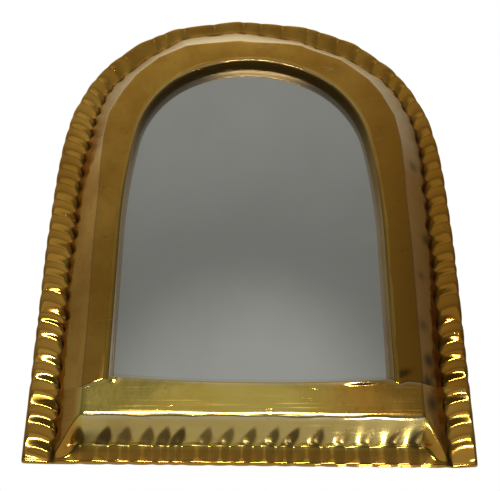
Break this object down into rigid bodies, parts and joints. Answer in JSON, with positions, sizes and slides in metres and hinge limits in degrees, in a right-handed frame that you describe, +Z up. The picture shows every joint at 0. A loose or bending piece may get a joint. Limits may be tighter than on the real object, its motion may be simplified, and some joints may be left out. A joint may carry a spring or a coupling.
{
  "type": "wall mirror",
  "caption": "Arched wall mirror in a hammered brass surround with a raised band, a dented rim and a folded hem; hangs by a wire ring at the back.",
  "frame": {"origin": "middle of the rear rim plane, half way up the frame and half way across it", "axes": "+Z up, -Y out of the mirror's face, +Y towards the wall, +X to the right seen from the front"},
  "size_m": [0.201, 0.0205, 0.2341],
  "materials": {
    "side_brass": "hammered, brown tarnish",
    "rail_brass": "hammered and rubbed brighter",
    "reveal_brass": "dark tarnish",
    "mirror": "old silvering, slightly hazed",
    "board": "plain softwood",
    "back_sheet": "dull sheet",
    "small_brass": "bent strip and wire"
  },
  "bodies": {
    "frame": {"arch_surround": "side_brass", "bottom_rail": "rail_brass", "reveal_strip": "reveal_brass", "mirror_glass": "mirror", "backing_board": "board", "back_plate": "back_sheet", "glass_clips": "small_brass", "hanger_strap": "small_brass", "strap_rivets": "small_brass"},
    "ring": {"hanging_ring": "small_brass"}
  },
  "joints": [
    {"name": "ring_swing", "type": "hinge", "parent": "frame", "child": "ring", "pos_m": [0, 0.0011, 0.099], "axis": [1, 0, 0], "range_deg": [0, 180]}
  ]
}
